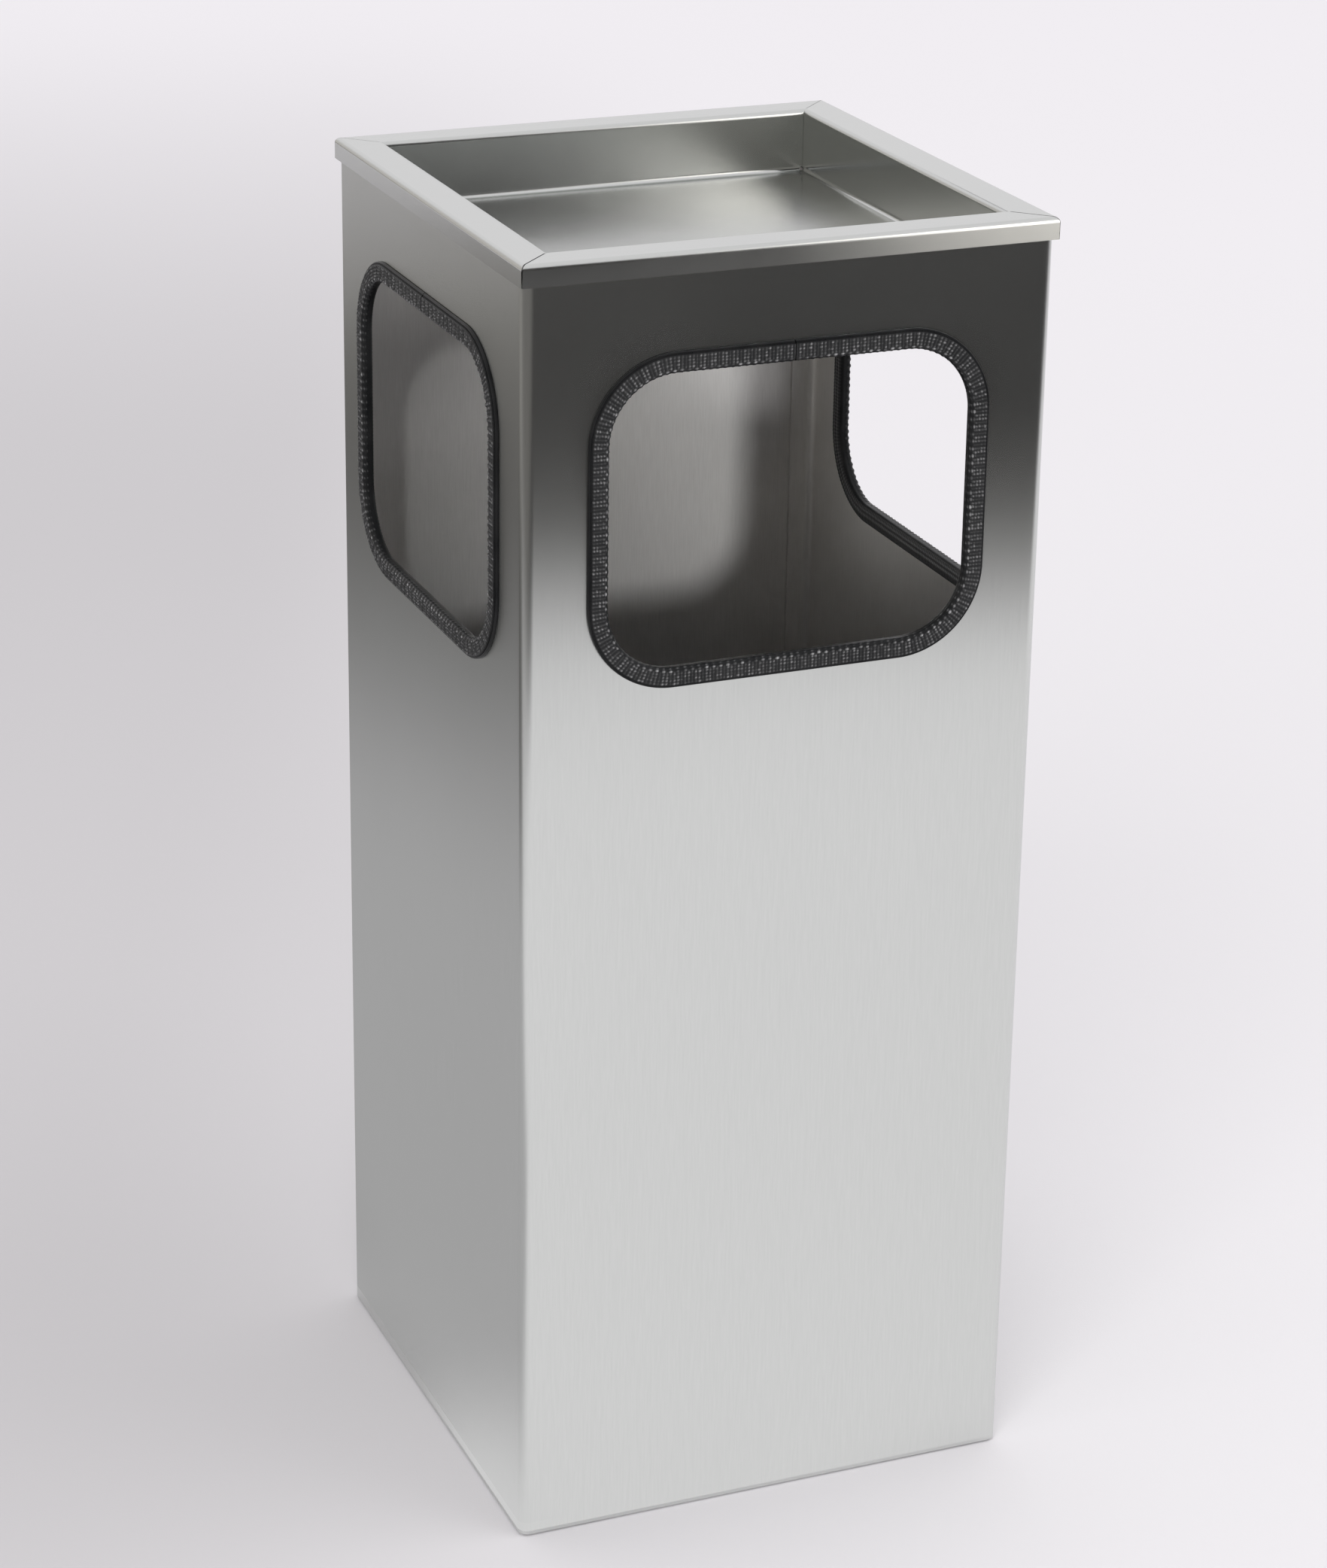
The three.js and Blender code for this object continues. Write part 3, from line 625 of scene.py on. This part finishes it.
def embossing(distances, from_lip, span, seed):
    """The embossed skin for each station round the opening and point of the section.

    Returns its height, from 0 to 1, and its painted glint, a painted highlight that stands partly for wear.
    """
    random = np.random.default_rng(seed)
    ribs = round(distances[-1] / RIB_PITCH)
    pitch = (distances[-1] - distances[0]) / ribs
    along = (distances - distances[0])[:, None]
    across = from_lip[None, :]
    rib = face_ridges(along / pitch % 1.0, pitch, across)
    # Ridges and beads give the skin its painted glint, partly wear, brightest on the bead tops.
    height, glint_and_wear = RIDGE_HEIGHT * rib, RIDGE_GLINT * rib

    for row in range(BEAD_ROWS):
        line = FIRST_ROW + ROW_PITCH * row
        for place, _, size, tall, glint in COLUMNS:
            raised, glinting = beads(along, across, pitch, place, line, size, tall, random)
            height = np.maximum(height, np.where(raised > 0, raised + BEAD_LIFT * rib, 0))
            glint_and_wear = np.maximum(glint_and_wear, glinting * glint)
    for past, size, tall, glint in FOLD_ROWS:
        line = RIBBED_FACE + past
        raised, glinting = beads(along, across, pitch / FOLD_BEADS_PER_RIB, 0.5, line, size, tall, random)
        height = np.maximum(height, raised)
        glint_and_wear = np.maximum(glint_and_wear, glinting * glint)

    raised, glinting = inner_leg(along, pitch, across - (span - RIBBED_FACE))
    height = np.maximum(height, raised)
    glint_and_wear = np.maximum(glint_and_wear, glinting)
    height += UNEVENNESS * random.random(height.shape)
    plain = across < 0
    return np.where(plain, 0.0, np.clip(height, 0, 1)), np.where(plain, 0.0, np.clip(glint_and_wear, 0, 1))


def tube(points, offset):
    """The numbers of a grid's points, counted from an offset, and the quads of the tube they make."""
    rows, columns = points.shape[:2]
    index = offset + np.arange(rows * columns).reshape(rows, columns)
    beside = np.roll(index, -1, 1)
    quads = np.stack([index[:-1], beside[:-1], beside[1:], index[1:]], -1).reshape(-1, 4)
    return index, quads


def hollow_bar(skin, hollow):
    """Points and faces of a closed bar with a hollow along it, from two grids of sections."""
    skin_index, skin_faces = tube(skin, 0)
    hollow_index, hollow_faces = tube(hollow, skin.shape[0] * skin.shape[1])
    points = np.concatenate([skin.reshape(-1, 3), hollow.reshape(-1, 3)])
    faces = [tuple(face) for face in np.concatenate([skin_faces, hollow_faces]).tolist()]
    for end in (0, -1):
        ring = np.concatenate([skin_index[end], hollow_index[end]])
        loops = [[Vector(points[i]) for i in index[end]] for index in (skin_index, hollow_index)]
        faces += [tuple(int(ring[i]) for i in triangle) for triangle in tessellate_polygon(loops)]
    return points, faces


def face_outward(mesh):
    """Turns every face of a closed mesh to face out of it."""
    work = bmesh.new()
    work.from_mesh(mesh)
    bmesh.ops.recalc_face_normals(work, faces=work.faces)
    work.to_mesh(mesh)
    work.free()


def trim_grids(seed):
    """The skin and the hollow of the front opening's trim, and the painted glint of each point of the skin.
    """
    low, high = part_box("edge_trim_front")
    middle, side = (low.y + high.y) / 2 / MM, (high.y - low.y) / 2 / MM
    centre_z = (low.z + high.z) / 2 / MM
    width, height = (high.x - low.x) / MM - 2 * TRIM_TIP, (high.z - low.z) / MM - 2 * TRIM_TIP
    path, outward, distances = opening_path(width, height)
    loop, out, from_lip, span = trim_skin(side)
    height_share, glint_and_wear = embossing(distances, from_lip, span, seed)
    raised = EMBOSSING * height_share

    def placed(depth, away):
        flat = path[:, None, :] + outward[:, None, :] * depth[..., None]
        return np.stack([flat[..., 0], middle - away, centre_z + flat[..., 1]], -1) * MM

    skin = placed(loop[None, :, 0] + raised * out[None, :, 0], loop[None, :, 1] + raised * out[None, :, 1])
    half = np.array(CORE_POCKET)
    pocket = np.concatenate([half, (half * [1, -1])[::-1]])
    hollow = placed(*(np.repeat(pocket[None, :, k], len(path), 0) for k in (0, 1)))
    stations = np.arange(len(path))
    kept = np.unique(np.concatenate([stations[::STEPS_PER_RIB], stations[-1:]]))
    return skin, hollow[kept], glint_and_wear


def ribbed_trim(wall, turn, seed):
    """One opening's trim, embossed, in its CAD node's place."""
    skin, hollow, glint_and_wear = trim_grids(seed)
    points, faces = hollow_bar(skin, hollow)
    name = f"ribbed_trim_{wall}"
    mesh = bpy.data.meshes.new(name)
    turned = points @ np.array(Matrix.Rotation(turn, 3, "Z")).T
    mesh.from_pydata(turned.tolist(), [], faces)
    face_outward(mesh)
    mesh.polygons.foreach_set("use_smooth", [True] * len(mesh.polygons))
    mesh.set_sharp_from_angle(angle=TRIM_SHARP)
    mesh.materials.append(MATERIALS["trim"])
    # The painted glint, a painted highlight that stands partly for wear, is stored on the skin's points for
    # the trim's material.
    glinting = mesh.attributes.new(GLINT_AND_WEAR, "FLOAT", "POINT")
    glint = np.concatenate([glint_and_wear.ravel(), np.zeros(len(points) - glint_and_wear.size)])
    glinting.data.foreach_set("value", glint.astype(np.float32))
    made = bpy.data.objects.new(name, mesh)
    bpy.context.scene.collection.objects.link(made)
    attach(made, "bin")
    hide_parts(f"edge_trim_{wall}")


# ---------------------------------------------------------------- camera

def make_camera():
    data = bpy.data.cameras.new("camera")
    data.lens = CAMERA_LENS
    data.sensor_width = CAMERA_SENSOR
    data.shift_x, data.shift_y = CAMERA_SHIFT
    data.clip_start, data.clip_end = CAMERA_CLIP
    camera = bpy.data.objects.new("camera", data)
    yaw, pitch, roll = (math.radians(angle) for angle in (CAMERA_YAW, CAMERA_PITCH, CAMERA_ROLL))
    turn = Matrix.Rotation(-yaw, 4, "Z") @ Matrix.Rotation(math.pi / 2 - pitch, 4, "X")
    camera.matrix_world = Matrix.Translation(CAMERA_PLACE) @ turn @ Matrix.Rotation(roll, 4, "Z")
    bpy.context.scene.collection.objects.link(camera)
    bpy.context.scene.camera = camera


# ---------------------------------------------------------------- studio

def set_axes(forward, sideways, height=0.0):
    """A point of the set, given along and across the camera's direction from the middle of the bin."""
    yaw = math.radians(CAMERA_YAW)
    x = forward * math.sin(yaw) + sideways * math.cos(yaw)
    y = forward * math.cos(yaw) - sideways * math.sin(yaw)
    return (x, y, height)


def panel(name, corners, made_of):
    mesh = bpy.data.meshes.new(name)
    mesh.from_pydata(corners, [], [tuple(range(len(corners)))])
    mesh.materials.append(made_of)
    shown = bpy.data.objects.new(name, mesh)
    bpy.context.scene.collection.objects.link(shown)
    return shown


def flag_shade(name, brightness, tint, width, softness):
    """A studio flag or reflector, clear at its near edge and its ends, and full past its softness."""
    made, tree = new_material(name)
    point = tree.add("ShaderNodeSeparateXYZ", {0: tree.place()})
    from_end = tree.math("SUBTRACT", width / 2, tree.math("ABSOLUTE", point.outputs["X"]))
    nearest = tree.math("MINIMUM", from_end, point.outputs["Y"])
    share = tree.smooth_step(nearest, 0.0, softness)
    clear = tree.add("ShaderNodeBsdfTransparent").outputs[0]
    colour = (*(brightness * part for part in tint), 1.0)
    glow = tree.add("ShaderNodeEmission", {"Color": colour, "Strength": 1.0}).outputs[0]
    tree.finish(tree.add("ShaderNodeMixShader", {0: share, 1: clear, 2: glow}).outputs["Shader"])
    return made


def flag(name, place, turn, brightness, softness, size=WIDE, tilt=0.0, tint=DUSK):
    """A flag or reflector that shows in the steel but not to the camera, and casts no shadow.

    The middle of its near edge is at place, and it runs away from there, level or tilted up. A level flag
    covers the lower ones.
    """
    width, length = size
    shade = flag_shade(name, brightness, tint, width, softness)
    corners = [(-width / 2, 0, 0), (width / 2, 0, 0), (width / 2, length, 0), (-width / 2, length, 0)]
    made = panel(name, corners, shade)
    lift = Matrix.Rotation(turn, 4, "Z") @ Matrix.Rotation(tilt, 4, "X")
    made.matrix_world = Matrix.Translation(place) @ lift
    made.visible_camera = False
    made.visible_shadow = False
    made.visible_diffuse = False
    made.visible_transmission = False
    return made


def front_flag(name, lean, distance, height, brightness, softness):
    """A level flag in front of the bin, square to a line that leans some degrees to the right."""
    turn = math.radians(lean)
    place = (distance * math.sin(turn), -distance * math.cos(turn), height)
    flag(name, place, math.pi + turn, brightness, softness)


def aimed(name, light, place, target):
    """Hangs a light at a place, aimed at a target."""
    made = bpy.data.objects.new(name, light)
    aim = (Vector(target) - Vector(place)).to_track_quat("-Z", "Y")
    made.matrix_world = Matrix.Translation(place) @ aim.to_matrix().to_4x4()
    made.visible_camera = False
    bpy.context.scene.collection.objects.link(made)
    return made


def softbox(name, place, target, size, power):
    """A large soft light that doesn't show in the steel."""
    light = bpy.data.lights.new(name, "AREA")
    light.shape = "RECTANGLE"
    light.size, light.size_y = size
    light.energy = power
    made = aimed(name, light, place, target)
    made.visible_glossy = False


def spot_lamp(name, place, target, spot_radius, power):
    """A lamp that shows only in the steel, and whose round spot has a given radius where it is aimed."""
    light = bpy.data.lights.new(name, "SPOT")
    light.spot_size = 2 * math.atan(spot_radius / (Vector(target) - Vector(place)).length)
    light.spot_blend = LAMP_BLEND
    light.shadow_soft_size = LAMP_RADIUS
    light.energy = power
    made = aimed(name, light, place, target)
    made.visible_diffuse = False
    return made


def light_only(source, node):
    """Lets a light or a glowing panel shine on one CAD node alone."""
    lit = bpy.data.collections.new(f"lit_by_{source.name}")
    lit.objects.link(frame["nodes"][node])
    source.light_linking.receiver_collection = lit


def make_room():
    """The floor, and the pale light of the room round it."""
    reach = FLOOR_REACH
    corners = [(-reach, -reach, 0), (reach, -reach, 0), (reach, reach, 0), (-reach, reach, 0)]
    floor = panel("floor", corners, floor_paper())
    floor.matrix_world = Matrix.Rotation(SET_TURN, 4, "Z")
    world = bpy.data.worlds.new("studio")
    world.use_nodes = True
    background = world.node_tree.nodes["Background"]
    background.inputs["Color"].default_value = ROOM_TINT
    background.inputs["Strength"].default_value = ROOM_STRENGTH
    bpy.context.scene.world = world


def make_floor_flags():
    """What the casing's walls reflect of the floor: bright beside the bin, and darker further out."""
    flag("front_floor_bright", set_axes(0, 0, 0.003), AHEAD, brightness=0.88, softness=0.12, tint=PAPER)
    front_flag("front_floor_dusk", 22, distance=1.23, height=0.004, brightness=0.15, softness=0.34)
    front_flag("front_floor_dark", 32, distance=1.39, height=0.006, brightness=0.02, softness=0.5)
    flag("camera_floor_dark", set_axes(-1.05, 0, 0.007), AHEAD, brightness=0.015, softness=0.4)
    front_flag("front_left_floor_dark", -60, distance=0.8, height=0.0072, brightness=0.15, softness=0.9)
    flag("left_floor_grey", set_axes(0.6, -0.04, 0.0075), LEFT, brightness=0.49, softness=0.2,
         size=BESIDE, tint=PAPER)
    flag("left_floor_dark", set_axes(0.6, -0.66, 0.008), LEFT, brightness=0.09, softness=0.42, size=BESIDE)
    flag("far_left_floor", set_axes(0.6, -1.32, 0.009), LEFT, brightness=0.28, softness=0.5, size=BESIDE)
    flag("right_floor_dark", set_axes(0, 2.3, 0.010), RIGHT, brightness=0.05, softness=0.6, size=(12, 5))
    flag("back_floor_dark", set_axes(2.2, 0, 0.012), SET_TURN, brightness=0.05, softness=0.8)


def make_wall_flags():
    """What the steel reflects of the studio's walls, and the glow in the ash tray's front lip."""
    flag("front_wall_dark", set_axes(-3.2, -0.9, -0.05), AHEAD, brightness=0.02, softness=0.1,
         size=(8.4, 9), tilt=UPRIGHT)
    flag("left_wall_grey", set_axes(-0.6, -2.3, 0.1), LEFT, brightness=0.6, softness=0.02,
         size=(6.4, 3.0), tilt=UPRIGHT)
    flag("camera_wall_grey", set_axes(-3.0, 0, 0.3), AHEAD, brightness=0.35, softness=0.4,
         size=(2.4, 3.0), tilt=UPRIGHT)
    glow = flag("front_right_glow", (2.25, -2.5, -0.15), math.pi, brightness=3.3, softness=0.45,
                size=(2.4, 2.6), tilt=UPRIGHT)
    light_only(glow, "ash_tray")


def make_studio():
    make_room()
    softbox("key", set_axes(-1.0, 4.2, 4.6), set_axes(0.2, 0.1), size=(4.0, 4.0), power=54)
    softbox("fill", set_axes(-4.5, -1.0, 4.0), set_axes(-0.3, 0), size=(3.5, 2.5), power=135)
    make_floor_flags()
    make_wall_flags()
    # The spot falls on the right of the front opening, so its edge leaves the back wall's left side dark.
    right_of_opening = (0.18, -0.125, 0.47)
    inside = spot_lamp("inside_light", (0.1, -3.0, 1.13), right_of_opening, spot_radius=0.2, power=245)
    light_only(inside, "casing")


# ---------------------------------------------------------------- assembly

make_camera()
make_studio()
finish_nodes()
for seed, (wall, turn) in enumerate(WALLS):
    ribbed_trim(wall, turn, seed)

settings = bpy.context.scene.view_settings
settings.view_transform = "Standard"
settings.look = "None"
